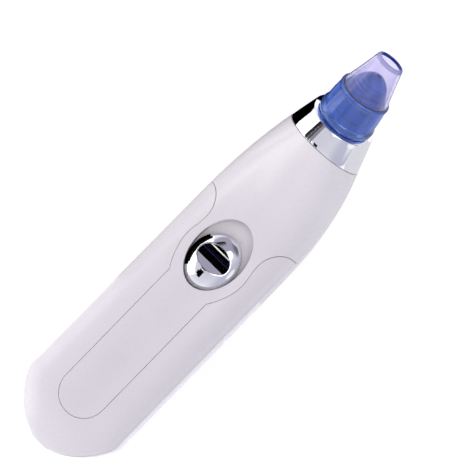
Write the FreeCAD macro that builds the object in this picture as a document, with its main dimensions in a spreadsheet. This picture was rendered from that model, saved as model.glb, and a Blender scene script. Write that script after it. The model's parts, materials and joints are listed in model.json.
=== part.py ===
import FreeCAD, Part
import math
import os
import re

import Sketcher
from FreeCAD import Placement, Rotation, Vector

# Handheld blackhead vacuum extractor, lying on its back.  Millimetres.
# +X runs from the rounded bottom end to the suction mouth, +Z points out of the switch face,
# Y goes across.  The origin is under the middle of the length, on the plane it rests on.
# In the code a station x is counted from the bottom end and a height z from the widest plane;
# "place" and "shift" bring both into the part's own frame.

DIMENSIONS = [
    # frame
    ("half_length", 91.08), ("rest_height", 29.5),
    # housing form, counted along its centre line
    ("grip_half_low", 21.65), ("grip_half_high", 21.3), ("end_length", 17.2),
    ("crown_low", 5.7), ("crown_high", 7.8), ("back_depth", 30.0), ("grip_end", 94.0),
    ("bend_start", 104.3), ("bend_radius", 79.0), ("nozzle_angle", 35.0),
    ("joint_run", 147.65), ("joint_angle", 15.5), ("joint_radius", 15.6),
    ("wall", 2.0), ("seam", 0.12), ("inner_gap", 0.3),
    # front panel outline
    ("tongue_end", 15.0), ("tongue_half", 9.05), ("tongue_top", 76.5),
    # battery cover
    ("cover_end", 78.0), ("cover_top", -12.0), ("lip_half", 6.0), ("groove_half", 9.0),
    ("groove_start", 24.0), ("groove_pitch", 3.0), ("groove_width", 1.2), ("groove_depth", 0.6),
    ("vent_start", 106.0), ("vent_pitch", 3.0), ("vent_width", 1.2), ("vent_half", 6.0),
    # switch recess and button
    ("recess_mid", 91.75), ("recess_half_length", 14.45), ("recess_half_width", 10.15),
    ("recess_wall", 1.2), ("tray_top", 3.5), ("tray_under", 2.3),
    ("button_mid", 88.95), ("button_half_length", 11.3), ("button_half_width", 9.4),
    ("button_base", 3.65), ("button_rim", 4.8), ("button_rise", 5.0), ("switch_travel", 5.5),
    ("scoop_line", 87.7), ("scoop_height", 8.4), ("scoop_facet_angle", 20.0),
    ("scoop_radius", 14.0), ("scoop_offset", 2.0),
    ("stem_start", 85.0), ("stem_length", 6.0), ("stem_half", 1.75), ("slide_gap", 0.15),
    # circuit board and slide switch
    ("board_start", 78.5), ("board_end", 97.8), ("board_half", 14.0), ("board_top", -1.6),
    ("board_thick", 1.0), ("board_screw_x", 91.0), ("board_screw_y", 11.6),
    ("lever_start", 86.5), ("lever_length", 2.0), ("lever_half", 1.0), ("plate_under", 1.2),
    # battery bay
    ("cell_radius", 7.25), ("cell_length", 50.5), ("cell_offset", 7.3), ("upper_row", -4.6),
    ("lower_row", -19.2), ("bay_start", 15.0), ("bay_end", 70.2), ("bay_wall", 1.2),
    ("contact_thick", 0.3), ("contact_half", 5.2), ("contact_half_height", 5.0),
    ("tab_y", 12.0), ("tab_z", -7.0),
    ("spring_radius", 2.6), ("spring_wire", 0.25),
    # motor
    ("drive_z", -10.8), ("motor_radius", 10.05), ("motor_half_height", 7.55), ("motor_start", 77.0),
    ("motor_end", 98.0), ("motor_skin", 0.8), ("cap_start", 74.5), ("shaft_radius", 1.0),
    ("shaft_gap", 0.04), ("bushing_radius", 2.4), ("core_radius", 6.2), ("core_start", 82.4),
    ("core_end", 92.0), ("commutator_radius", 2.6),
    # pump
    ("pump_radius", 11.5), ("pump_bore", 9.2), ("pump_floor", 100.0), ("pump_joint", 110.0),
    ("wobble_centre", 109.0), ("crank_angle", 6.0), ("pin_radius", 0.8), ("valve_start", 111.0),
    ("valve_end", 114.4), ("cover_face", 117.5), ("cup_circle", 5.6), ("cup_radius", 3.1),
    ("pump_screw_circle", 10.3), ("nipple_z", -2.7), ("nipple_radius", 1.5), ("nipple_end", 122.0),
    ("tube_radius", 2.5), ("tube_bend", 11.0),
    # nozzle, counted along its axis from the seat
    ("flange_x", 156.1), ("flange_z", 18.84), ("flange_radius", 12.15), ("collar_wall", 1.5),
    ("spigot_radius", 7.0), ("head_bore", 7.2), ("ring_seat", 4.9), ("ring_minor", 0.6),
    ("shoulder_run", 13.9), ("hood_radius", 9.7), ("hood_wall", 0.9), ("mouth_run", 29.5),
    ("mouth_half_width", 5.23), ("mouth_half_height", 3.4),
    # housing screws and wires
    ("boss_x", 113.0), ("boss_y", 15.5), ("boss_plane", -4.0), ("screw_seat", -14.0),
    ("screw_radius", 1.0), ("wire_radius", 0.6),
]

SIZE = dict(DIMENSIONS)
TURN_TO = {"x": Rotation(Vector(0, 1, 0), 90), "y": Rotation(Vector(1, 0, 0), -90), "z": Rotation()}
END_POWER = 1.25
SECTION_POINTS = 28

doc = FreeCAD.newDocument("blackhead_extractor")
sheet = doc.addObject("Spreadsheet::Sheet", "sizes")
for row, (alias, value) in enumerate(DIMENSIONS, start=1):
    sheet.set(f"A{row}", str(value))
    sheet.setAlias(f"A{row}", alias)
doc.recompute()

nodes = []


# ---------------------------------------------------------------- helpers

def sized(text):
    """The expression with each dimension's name pointed at its cell."""
    return re.sub(r"[a-z_]+[a-z]", lambda word: "sizes." + word[0] if word[0] in SIZE else word[0], text)


def number(text):
    """Value of an expression, worked out in the sheet's scratch cell."""
    sheet.set("D1", "=" + text)
    sheet.recompute()
    return float(sheet.get("D1"))


def bind(item, **sizes):
    for prop, text in sizes.items():
        item.setExpression(prop, sized(text))


def place(item, x, y, z, turn=Rotation()):
    """Station x, offset y and height z of the item's own origin, and its turn."""
    item.Placement = Placement(Vector(), turn)
    item.setExpression("Placement.Base.x", sized(f"{x} - half_length"))
    item.setExpression("Placement.Base.y", sized(y))
    item.setExpression("Placement.Base.z", sized(f"{z} + rest_height"))
    return item


def place_on_nozzle(item):
    """Local +Z along the nozzle's axis, local origin at the head's seat."""
    return place(item, "flange_x", "0", "flange_z", Rotation(Vector(0, 1, 0), 90 - SIZE["nozzle_angle"]))


def place_on_crank(item):
    """Local +Z along the inclined crank pin, local origin at the wobble centre."""
    turn = Rotation(Vector(0, 1, 0), 90 - SIZE["crank_angle"])
    return place(item, "wobble_centre", "0", "drive_z", turn)


def finish(label, item):
    item.Label = label
    nodes.append(item)
    return item


def cylinder(name, radius, span, y, z, axis="x"):
    """A cylinder along one axis; span is its start and end along that axis."""
    item = doc.addObject("Part::Cylinder", name)
    start, end = span
    bind(item, Radius=radius, Height=f"({end}) - ({start})")
    at = {"x": (start, y, z), "y": (y, start, z), "z": (y, z, start)}[axis]
    return place(item, *at, TURN_TO[axis])


def block(name, x_span, y_span, z_span):
    item = doc.addObject("Part::Box", name)
    bind(item, Length=f"({x_span[1]}) - ({x_span[0]})", Width=f"({y_span[1]}) - ({y_span[0]})",
         Height=f"({z_span[1]}) - ({z_span[0]})")
    return place(item, x_span[0], y_span[0], z_span[0])


def nozzle_cylinder(name, radius, span):
    item = doc.addObject("Part::Cylinder", name)
    start, end = span
    bind(item, Radius=radius, Height=f"({end}) - ({start})")
    turn = Rotation(Vector(0, 1, 0), 90 - SIZE["nozzle_angle"])
    return place(item, f"flange_x + ({start}) * cos(nozzle_angle * 1 deg)", "0",
                 f"flange_z + ({start}) * sin(nozzle_angle * 1 deg)", turn)


def cut(name, base, *tools):
    item = doc.addObject("Part::Cut", name)
    item.Base = base
    item.Tool = tools[0] if len(tools) == 1 else fuse(name + "_tools", *tools)
    return item


def fuse(name, *shapes):
    item = doc.addObject("Part::MultiFuse", name)
    item.Shapes = list(shapes)
    return item


def common(name, *shapes):
    item = doc.addObject("Part::MultiCommon", name)
    item.Shapes = list(shapes)
    return item


def group(name, *shapes):
    item = doc.addObject("Part::Compound", name)
    item.Links = list(shapes)
    return item


def formed(name, shape):
    """A free-form solid, given in stations and heights."""
    item = doc.addObject("Part::Feature", name)
    item.Shape = shape
    return place(item, "0", "0", "0")


def outline_sketch(body, plane, points):
    """A closed outline in one of the body's planes, each corner bound to its two sizes."""
    sketch = body.newObject("Sketcher::SketchObject", body.Name + "_outline")
    support = [face for face in body.Origin.OriginFeatures if face.Role == plane][0]
    sketch.AttachmentSupport = [(support, "")]
    sketch.MapMode = "FlatFace"
    corners = [Vector(number(across), number(up), 0) for across, up in points]
    count = len(corners)
    for index, corner in enumerate(corners):
        sketch.addGeometry(Part.LineSegment(corner, corners[(index + 1) % count]))
    for index in range(count):
        sketch.addConstraint(Sketcher.Constraint("Coincident", index, 2, (index + 1) % count, 1))
    for index, (across, up) in enumerate(points):
        bind_corner(sketch, "DistanceX", -2, index, across, corners[index].x)
        bind_corner(sketch, "DistanceY", -1, index, up, corners[index].y)
    return sketch


def bind_corner(sketch, kind, axis, index, text, value):
    if text == "0":
        sketch.addConstraint(Sketcher.Constraint("PointOnObject", index, 1, axis))
        return
    constraint = sketch.addConstraint(Sketcher.Constraint(kind, -1, 1, index, 1, value))
    sketch.renameConstraint(constraint, f"{kind}{index}")
    sketch.setExpression(f"Constraints.{kind}{index}", sized(text))


def turned(name, points):
    """A turned body about its local Z; points are radius and height."""
    body = doc.addObject("PartDesign::Body", name)
    sketch = outline_sketch(body, "XZ_Plane", points)
    revolution = body.newObject("PartDesign::Revolution", name + "_turned")
    revolution.Profile = sketch
    revolution.ReferenceAxis = (sketch, ["V_Axis"])
    revolution.Angle = 360
    return body


def turned_on_drive(name, points):
    """A turned body about the motor's axis; the heights are stations."""
    return place(turned(name, points), "0", "0", "drive_z", TURN_TO["x"])


def padded(name, points, thickness, plane="XY_Plane"):
    body = doc.addObject("PartDesign::Body", name)
    sketch = outline_sketch(body, plane, points)
    pad = body.newObject("PartDesign::Pad", name + "_pad")
    pad.Profile = sketch
    bind(pad, Length=thickness)
    return body


# ---------------------------------------------------------------- housing form

def ramp(run, start, end, power):
    return max(0.0, (run - start) / (end - start)) ** power


def centre_at(run):
    """Point and slope of the centre line: straight, then an arc towards the switch face."""
    angle = max(0.0, run - SIZE["bend_start"]) / SIZE["bend_radius"]
    x = min(run, SIZE["bend_start"]) + SIZE["bend_radius"] * math.sin(angle)
    return x, SIZE["bend_radius"] * (1 - math.cos(angle)), angle


def section_wire(run, inset):
    """The housing's closed outline at one station, pulled in by inset."""
    joint = SIZE["joint_run"]
    part_way = min(1.0, max(0.02, (run - inset) / (SIZE["end_length"] - inset)))
    swell = math.sqrt(1 - (1 - part_way) ** END_POWER)
    swell_deep = math.sqrt(1 - (1 - part_way) ** 2)
    taper = (SIZE["grip_half_high"] - SIZE["grip_half_low"]) / SIZE["bend_start"]
    grip = SIZE["grip_half_low"] + taper * run
    nose = ramp(run, SIZE["bend_start"], joint, 2)
    shape = ramp(run, SIZE["grip_end"], joint, 1.4)
    crown = SIZE["crown_low"] + (SIZE["crown_high"] - SIZE["crown_low"]) * min(1, run / SIZE["grip_end"])
    half = (grip + (SIZE["joint_radius"] - grip) * nose - inset) * swell
    front = (crown + (SIZE["joint_radius"] - crown) * shape - inset) * swell_deep
    back = (SIZE["back_depth"] + (SIZE["joint_radius"] - SIZE["back_depth"]) * shape - inset) * swell_deep
    front_power = 2 / (2.3 - 0.3 * min(1, shape))
    back_power = 2 / (3.0 - 1.0 * min(1, shape))
    x, z, slope = centre_at(run)
    slope = min(slope, math.radians(SIZE["joint_angle"]))
    points = []
    for index in range(SECTION_POINTS):
        turn = 2 * math.pi * index / SECTION_POINTS
        across, up = math.cos(turn), math.sin(turn)
        depth, power = (front, front_power) if up > 0 else (back, back_power)
        y = math.copysign(abs(across) ** power, across) * half
        rise = math.copysign(abs(up) ** power, up) * depth
        points.append(Vector(x - rise * math.sin(slope), y, z + rise * math.cos(slope)))
    curve = Part.BSplineCurve()
    curve.interpolate(Points=points, PeriodicFlag=True, Parameters=list(range(SECTION_POINTS + 1)))
    return Part.Wire(curve.toShape())


def housing_form(inset, overrun):
    """Solid skin of the housing, inset from the outer face, up to the collar's joint."""
    end = SIZE["end_length"]
    runs = [inset + (end - inset) * part for part in (0, 0.05, 0.14, 0.28, 0.46, 0.66, 0.86, 1)]
    runs += [21, 27, 36, 50, 70, SIZE["grip_end"], SIZE["bend_start"]]
    runs += [113, 122, 131, 140, SIZE["joint_run"]]
    if overrun:
        runs.append(SIZE["joint_run"] + overrun)
    return Part.makeLoft([section_wire(run, inset) for run in runs], True)


def panel_outline(gap):
    """Front panel seen from above: tongue, switch surround and the hooks out to the sides."""
    half = SIZE["tongue_half"] + gap
    middle = SIZE["tongue_end"] - gap + half
    surround = [(SIZE["tongue_top"], half), (82.7, 12.2 + gap), (89.9, 13.6 + gap), (99.7, 12.7 + gap)]
    surround += [(103.9 - gap, 13.9 + gap), (107.7 - gap, 17.1 + gap), (108.9 - gap, 21.5)]
    side = [Vector(x, y, 0) for x, y in surround]
    curve = Part.BSplineCurve()
    curve.interpolate(Points=side)
    far = Vector(200, 0, 0)
    edge_half = SIZE["grip_half_low"] * 2
    half_edges = [Part.LineSegment(Vector(middle, half, 0), side[0]).toShape(), curve.toShape(),
                  Part.LineSegment(side[-1], Vector(side[-1].x, edge_half, 0)).toShape(),
                  Part.LineSegment(Vector(side[-1].x, edge_half, 0), Vector(far.x, edge_half, 0)).toShape()]
    mirrored = [edge.mirror(Vector(), Vector(0, 1, 0)) for edge in half_edges]
    end = Part.Arc(Vector(middle, half, 0), Vector(middle - half, 0, 0), Vector(middle, -half, 0)).toShape()
    closing = Part.LineSegment(Vector(far.x, edge_half, 0), Vector(far.x, -edge_half, 0)).toShape()
    return Part.Wire(Part.__sortEdges__(half_edges + mirrored + [end, closing]))


def above_centre(gap):
    """Everything on the switch side of the curved surface through the widest line."""
    start, radius = SIZE["bend_start"], SIZE["bend_radius"]
    side = -2 * SIZE["grip_half_low"]

    def at(x, z):
        return Vector(x, side, z - gap)

    def on_arc(angle):
        return at(start + radius * math.sin(angle), radius * (1 - math.cos(angle)))

    last = math.radians(SIZE["nozzle_angle"])
    ceiling = 3 * SIZE["back_depth"]
    far = on_arc(last) + Vector(40 * math.cos(last), 0, 40 * math.sin(last))
    edges = [Part.LineSegment(at(-5, 0), at(start, 0)).toShape(),
             Part.Arc(at(start, 0), on_arc(last / 2), on_arc(last)).toShape(),
             Part.LineSegment(on_arc(last), far).toShape(),
             Part.LineSegment(far, at(far.x, ceiling)).toShape(),
             Part.LineSegment(at(far.x, ceiling), at(-5, ceiling)).toShape(),
             Part.LineSegment(at(-5, ceiling), at(-5, 0)).toShape()]
    return Part.Face(Part.Wire(edges)).extrude(Vector(0, -2 * side, 0))


def panel_region(gap):
    prism = Part.Face(panel_outline(gap)).extrude(Vector(0, 0, 3 * SIZE["back_depth"]))
    prism.translate(Vector(0, 0, -gap))
    return prism.common(above_centre(gap))


def oval_prism(middle, half_length, half_width, low, high):
    oval = Part.Ellipse(Vector(middle, 0, low), half_length, half_width)
    return Part.Face(Part.Wire(oval.toShape())).extrude(Vector(0, 0, high - low))


outer_form = formed("outer_form", housing_form(0, 0))
inner_form = formed("inner_form", housing_form(SIZE["wall"], 1.5))
middle_form = formed("middle_form", housing_form(SIZE["wall"] / 2, 0))
clear_form = formed("clear_form", housing_form(SIZE["wall"] + SIZE["inner_gap"], 0))


def housing_skin(name):
    return cut(name, outer_form, inner_form)


def screw_posts(name, radius, span):
    """A pair of upright posts, one on each side, at the housing screws."""
    low, high = span
    return fuse(name, *[cylinder(f"{name}_{side}", radius, (low, high), "boss_x", f"{sign}boss_y", "z")
                        for side, sign in (("left", "-"), ("right", ""))])


def board_posts(name, radius, span):
    low, high = span
    return fuse(name, *[cylinder(f"{name}_{side}", radius, (low, high), "board_screw_x",
                                 f"{sign}board_screw_y", "z")
                        for side, sign in (("left", "-"), ("right", ""))])


def make_front_housing():
    skin = common("panel_skin", housing_skin("panel_shell"), formed("panel_space", panel_region(0)))
    rim = SIZE["recess_wall"]
    tray = formed("recess_tray", oval_prism(SIZE["recess_mid"], SIZE["recess_half_length"] + rim,
                                            SIZE["recess_half_width"] + rim, SIZE["tray_under"], 20))
    tray_trimmed = common("recess_tray_trimmed", tray, outer_form)
    posts = common("front_posts", screw_posts("front_post", "3", ("boss_plane", "12")), middle_form)
    board = common("board_bosses", board_posts("board_boss", "1.75", ("board_top", "12")), middle_form)
    well = formed("recess_well", oval_prism(SIZE["recess_mid"], SIZE["recess_half_length"],
                                            SIZE["recess_half_width"], SIZE["tray_top"], 30))
    slot_end = "stem_start + stem_length + switch_travel + slide_gap"
    slot = block("stem_slot", ("stem_start - slide_gap", slot_end),
                 ("-stem_half - slide_gap", "stem_half + slide_gap"), ("tray_under - 1", "tray_top + 1"))
    pilots = screw_posts("front_pilot", "screw_radius + 0.05", ("boss_plane - 1", "3"))
    board_pilots = board_posts("board_pilot", "0.9", ("board_top - 1", "3"))
    solid = fuse("front_solid", skin, tray_trimmed, posts, board)
    finish("front_housing", cut("front_housing", solid, well, slot, pilots, board_pilots))


def drive_ribs():
    """Saddle ribs that carry the motor and the pump on the back shell."""
    ribs = []
    for index, (start, end) in enumerate((("82.5", "84"), ("95", "96.5"), ("104.5", "106.5"))):
        ribs.append(block(f"rib_{index}", (start, end), ("-12", "12"), ("-back_depth", "drive_z")))
    return common("drive_ribs", fuse("rib_blocks", *ribs), middle_form)


def motor_clearance():
    round_part = cylinder("motor_clear_round", "motor_radius + 0.05", ("cap_start - 1", "motor_end"),
                          "0", "drive_z")
    flat_part = block("motor_clear_flat", ("cap_start - 2", "motor_end + 1"), ("-20", "20"),
                      ("drive_z - motor_half_height - 0.05", "drive_z + 15"))
    return common("motor_clearance", round_part, flat_part)


def rest_land(name):
    return block(name, ("-10", "200"), ("-60", "60"), ("-rest_height - 10", "-rest_height"))


def make_rear_housing():
    panel = formed("panel_opening", panel_region(SIZE["seam"]))
    bay = block("cover_opening", ("-10", "cover_end + seam"), ("-60", "60"), ("-80", "cover_top + seam"))
    skin = cut("rear_skin", housing_skin("rear_shell"), panel, bay)
    posts = common("rear_posts", screw_posts("rear_post", "3.5", ("-40", "boss_plane")), middle_form)
    solid = fuse("rear_solid", skin, drive_ribs(), posts)
    sinks = screw_posts("screw_sink", "2.8", ("-45", "screw_seat"))
    holes = screw_posts("screw_hole", "screw_radius + 0.3", ("screw_seat - 1", "boss_plane + 1"))
    pump_clear = cylinder("pump_clearance", "pump_radius + 0.05", ("pump_floor - 5", "nipple_end"),
                          "0", "drive_z")
    vents = []
    for index in range(4):
        start = f"vent_start + {index} * vent_pitch"
        vents.append(block(f"vent_{index}", (start, start + " + vent_width"), ("-vent_half", "vent_half"),
                           ("-45", "-20")))
    finish("rear_housing", cut("rear_housing", solid, motor_clearance(), pump_clear, sinks, holes, *vents,
                               rest_land("rear_land")))


def make_battery_cover():
    space = block("cover_space", ("-10", "cover_end"), ("-60", "60"), ("-80", "cover_top"))
    skin = common("cover_skin", housing_skin("cover_shell"), space)
    root = common("lip_root", middle_form, block("lip_root_space", ("cover_end - 8", "cover_end - 1"),
                                                 ("-lip_half", "lip_half"), ("-80", "cover_top")))
    lip = common("lip_blade", clear_form, block("lip_space", ("cover_end - 8", "cover_end + 4"),
                                               ("-lip_half", "lip_half"), ("-80", "cover_top")))
    hollow = formed("lip_hollow", housing_form(SIZE["wall"] + 1.3, 0))
    grooves = []
    for index in range(5):
        start = f"groove_start + {index} * groove_pitch"
        grooves.append(block(f"grip_groove_{index}", (start, start + " + groove_width"),
                             ("-groove_half", "groove_half"), ("-40", "-rest_height + groove_depth")))
    solid = fuse("cover_solid", skin, cut("cover_lip", fuse("lip_parts", root, lip), hollow))
    finish("battery_cover", cut("battery_cover", solid, rest_land("cover_land"), *grooves))


def make_housing_screws():
    heads = screw_posts("screw_head", "2.5", ("screw_seat - 1.8", "screw_seat"))
    shanks = screw_posts("screw_shank", "screw_radius", ("screw_seat", "2"))
    slots = []
    for side, sign in (("left", "-"), ("right", "")):
        for name, reach, width in (("slot", "2.2", "0.3"), ("cross", "0.3", "2.2")):
            slots.append(block(f"screw_{name}_{side}", (f"boss_x - {reach}", f"boss_x + {reach}"),
                               (f"{sign}boss_y - {width}", f"{sign}boss_y + {width}"),
                               ("screw_seat - 2", "screw_seat - 1.2")))
    finish("housing_screws", cut("housing_screws", fuse("screw_blanks", heads, shanks), *slots))


# ---------------------------------------------------------------- switch

def make_switch_button():
    middle, long_half, wide_half = SIZE["button_mid"], SIZE["button_half_length"], SIZE["button_half_width"]
    rim = SIZE["button_rim"]
    skirt = oval_prism(middle, long_half, wide_half, SIZE["button_base"], rim)
    dome = Part.makeSphere(1)
    stretch = FreeCAD.Matrix()
    stretch.scale(Vector(long_half, wide_half, SIZE["button_rise"]))
    dome = dome.transformGeometry(stretch)
    dome.translate(Vector(middle, 0, rim))
    above = Part.makeBox(60, 60, 30, Vector(middle - 30, -30, rim))
    line_x, line_z, radius = SIZE["scoop_line"], SIZE["scoop_height"], SIZE["scoop_radius"]
    facet_angle = math.radians(SIZE["scoop_facet_angle"])
    facet = Part.makePolygon([Vector(line_x, -30, line_z), Vector(line_x + 30, -30, line_z),
                              Vector(line_x + 30, -30, line_z + 30),
                              Vector(line_x - 30 / math.tan(facet_angle), -30, line_z + 30),
                              Vector(line_x, -30, line_z)])
    wedge = Part.Face(facet).extrude(Vector(0, 60, 0))
    offset = SIZE["scoop_offset"]
    hollow_z = line_z + math.sqrt(radius ** 2 - offset ** 2)
    hollow = Part.makeCylinder(radius, 60, Vector(line_x + offset, -30, hollow_z), Vector(0, 1, 0))
    behind = Part.makeBox(40, 60, 60, Vector(line_x - 40, -30, line_z - 20))
    hollow = hollow.cut(behind)
    side_wedge = wedge.common(behind)
    cap = dome.common(above).cut(side_wedge).cut(hollow)
    stem = Part.makeBox(SIZE["stem_length"], 2 * SIZE["stem_half"], rim - SIZE["plate_under"] - 1,
                        Vector(SIZE["stem_start"], -SIZE["stem_half"], SIZE["plate_under"] + 1))
    finish("switch_button", formed("switch_button", skirt.fuse([cap, stem]).removeSplitter()))


def make_switch_slide_plate():
    plate = block("slide_plate", ("82.5", "93"), ("-4.5", "4.5"), ("plate_under", "plate_under + 1"))
    prongs = [block(f"slide_prong_{index}", (start, f"{start} + 1"), ("-lever_half", "lever_half"),
                    ("plate_under - 0.5", "plate_under"))
              for index, start in enumerate(("lever_start - 1", "lever_start + lever_length"))]
    finish("switch_slide_plate", fuse("switch_slide_plate", plate, *prongs))


def make_slide_switch():
    body = block("switch_case", ("83.5", "96.5"), ("-3", "3"), ("board_top", "0.6"))
    slot = block("switch_slot", ("lever_start - 0.1", "lever_start + lever_length + switch_travel + 0.1"),
                 ("-lever_half - 0.1", "lever_half + 0.1"), ("-0.6", "1"))
    finish("slide_switch_body", cut("slide_switch_body", body, slot))
    lever = padded("slide_switch_lever", [("0", "-lever_half"), ("lever_length", "-lever_half"),
                                          ("lever_length", "lever_half"), ("0", "lever_half")],
                   "plate_under + 0.5")
    finish("slide_switch_lever", place(lever, "lever_start", "0", "-0.5"))


def make_circuit_board():
    board = block("board_blank", ("board_start", "board_end"), ("-board_half", "board_half"),
                  ("board_top - board_thick", "board_top"))
    holes = board_posts("board_hole", "1", ("board_top - 3", "board_top + 3"))
    finish("circuit_board", cut("circuit_board", board, holes))
    heads = board_posts("board_screw_head", "1.5",
                        ("board_top - board_thick - 1", "board_top - board_thick"))
    shanks = board_posts("board_screw_shank", "0.85", ("board_top - board_thick", "2"))
    finish("board_screws", fuse("board_screws", heads, shanks))
    resistor = cylinder("resistor_body", "0.9", ("-3", "3"), "80.6", "board_top + 0.9", "y")
    capacitor = cylinder("capacitor_body", "1.5", ("board_top", "board_top + 2.4"), "80.4", "8", "z")
    finish("board_components", group("board_components", resistor, capacitor))


# ---------------------------------------------------------------- batteries

CELLS = [("1", "", "upper_row", True), ("2", "-", "upper_row", False),
         ("3", "", "lower_row", False), ("4", "-", "lower_row", True)]


def make_cells():
    """Four AA cells, two rows of two, pointing to and fro as they are wired in series."""
    for label, sign, row, forward in CELLS:
        profile = [("0", "0"), ("cell_radius - 0.6", "0"), ("cell_radius", "0.6"),
                   ("cell_radius", "cell_length - 1.7"), ("cell_radius - 0.6", "cell_length - 1.1"),
                   ("2.7", "cell_length - 1.1"), ("2.7", "cell_length"), ("0", "cell_length")]
        cell = turned(f"battery_cell_{label}", profile)
        if forward:
            place(cell, "bay_end - contact_thick - cell_length", f"{sign}cell_offset", row, TURN_TO["x"])
        else:
            place(cell, "bay_start + contact_thick + cell_length", f"{sign}cell_offset", row,
                  Rotation(Vector(0, 1, 0), -90))
        finish(f"battery_cell_{label}", cell)


def make_springs():
    free = SIZE["bay_end"] - SIZE["bay_start"] - 2 * SIZE["contact_thick"] - SIZE["cell_length"]
    wire = SIZE["spring_wire"]
    radius, turns, steps = SIZE["spring_radius"], 4, 14
    lead = (free - 2 * wire) / (2 * math.pi * turns)
    sections = []
    for index in range(turns * steps + 1):
        angle = 2 * math.pi * index / steps
        middle = Vector(wire + lead * angle, radius * math.cos(angle), radius * math.sin(angle))
        heading = Vector(lead, -radius * math.sin(angle), radius * math.cos(angle))
        sections.append(Part.Wire(Part.Circle(middle, heading, wire).toShape()))
    spring = Part.makeLoft(sections, True, True)
    springs = []
    for label, sign, row, forward in CELLS:
        start = SIZE["bay_start"] + SIZE["contact_thick"]
        if not forward:
            start = SIZE["bay_end"] - SIZE["contact_thick"] - free
        copy = spring.copy()
        copy.translate(Vector(start, SIZE["cell_offset"] * (-1 if sign else 1), SIZE[row]))
        springs.append(copy)
    finish("battery_springs", formed("battery_springs", Part.makeCompound(springs)))


def contact_tabs(name, spare):
    return [block(f"{name}_{side}", ("bay_end - contact_thick", "bay_end + 2"),
                  (f"{sign}tab_y - 1 - {spare}", f"{sign}tab_y + 1 + {spare}"),
                  (f"tab_z - 0.15 - {spare}", f"tab_z + 0.15 + {spare}"))
            for side, sign in (("left", "-"), ("right", ""))]


def make_contact_plates():
    plates = []
    for label, sign, row, forward in CELLS:
        for end, span in (("low", ("bay_start", "bay_start + contact_thick")),
                          ("high", ("bay_end - contact_thick", "bay_end"))):
            plates.append(block(f"contact_{end}_{label}", span,
                                (f"{sign}cell_offset - contact_half", f"{sign}cell_offset + contact_half"),
                                (f"{row} - contact_half_height", f"{row} + contact_half_height")))
    finish("contact_plates", fuse("contact_plates", *plates, *contact_tabs("contact_tab", "0")))


def make_battery_box():
    blank = block("box_blank", ("bay_start - 2", "bay_end + bay_wall"), ("-17.6", "17.6"), ("-22", "6"))
    bay = block("box_bay", ("bay_start", "bay_end"), ("-2 * cell_radius - 0.35", "2 * cell_radius + 0.35"),
                ("-60", "upper_row - 0.5"))
    roofs = [cylinder(f"box_roof_{side}", "cell_radius + 0.2", ("bay_start", "bay_end"),
                      f"{sign}cell_offset", "upper_row") for side, sign in (("left", "-"), ("right", ""))]
    hollow = cut("box_hollow", blank, bay, *roofs, *contact_tabs("tab_slot", "0.05"))
    finish("battery_box", common("battery_box", hollow, clear_form))


# ---------------------------------------------------------------- motor

def flat_sided(name, grow, span):
    """Round motor outline with two flats, pulled in by -grow."""
    round_part = cylinder(name + "_round", f"motor_radius + ({grow})", span, "0", "drive_z")
    flat_part = block(name + "_flat", span, ("-20", "20"), (f"drive_z - motor_half_height - ({grow})",
                                                             f"drive_z + motor_half_height + ({grow})"))
    return common(name, round_part, flat_part)


def make_motor_case():
    shell = flat_sided("can_outer", "0", ("motor_start", "motor_end"))
    boss = cylinder("can_boss", "bushing_radius + 0.7", ("motor_end - 0.5", "motor_end + 1.5"),
                    "0", "drive_z")
    hollow = flat_sided("can_inner", "-motor_skin", ("motor_start - 1", "motor_end - motor_skin"))
    bore = cylinder("can_bore", "bushing_radius", ("motor_end - 2", "motor_end + 3"), "0", "drive_z")
    threads = motor_screw_posts("can_thread", "0.85", ("motor_end - 2", "motor_end + 1"))
    finish("motor_can", cut("motor_can", fuse("can_solid", shell, boss), hollow, bore, threads))
    cap = flat_sided("cap_outer", "0", ("cap_start", "motor_start"))
    cap_bore = cylinder("cap_bore", "bushing_radius", ("cap_start - 1", "motor_start + 1"), "0", "drive_z")
    finish("motor_end_cap", cut("motor_end_cap", cap, cap_bore, *terminals("cap_slot", "0.05")))


def terminals(name, spare):
    return [block(f"{name}_{side}", ("cap_start - 1.6", "motor_start"),
                  (f"{sign}5 - 1 - {spare}", f"{sign}5 + 1 + {spare}"),
                  (f"drive_z + {lift} - {spare}", f"drive_z + {lift} + 0.3 + {spare}"))
            for side, sign, lift in (("left", "-", "-2.95"), ("right", "", "2.65"))]


def make_motor_brushes():
    blades = [block(f"brush_{side}", ("motor_start", "motor_start + 2.4"), span,
                    (f"drive_z + {lift}", f"drive_z + {lift} + 0.3"))
              for side, span, lift in (("left", ("-6", "1.5"), "-2.95"), ("right", ("-1.5", "6"), "2.65"))]
    finish("motor_brushes", fuse("motor_brushes", *blades, *terminals("brush_tab", "0")))


def motor_screw_posts(name, radius, span):
    return fuse(name, *[cylinder(f"{name}_{side}", radius, span, f"{sign}6", "drive_z")
                        for side, sign in (("left", "-"), ("right", ""))])


def make_motor_bushings():
    bushings = []
    for name, start, end in (("rear_bushing", "cap_start", "motor_start"),
                             ("front_bushing", "motor_end - motor_skin", "motor_end + 1.5")):
        bushings.append(turned_on_drive(name, [("shaft_radius + shaft_gap", start), ("bushing_radius", start),
                                               ("bushing_radius", end), ("shaft_radius + shaft_gap", end)]))
    finish("motor_bushings", group("motor_bushings", *bushings))


def make_motor_magnets():
    ring = cut("magnet_ring",
               cylinder("magnet_outer", "motor_radius - motor_skin", ("81", "93.5"), "0", "drive_z"),
               cylinder("magnet_inner", "motor_radius - motor_skin - 1.6", ("80", "95"), "0", "drive_z"))
    band = block("magnet_band", ("80", "95"), ("-20", "20"), ("drive_z - 5", "drive_z + 5"))
    finish("motor_magnets", common("motor_magnets", ring, band))


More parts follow.
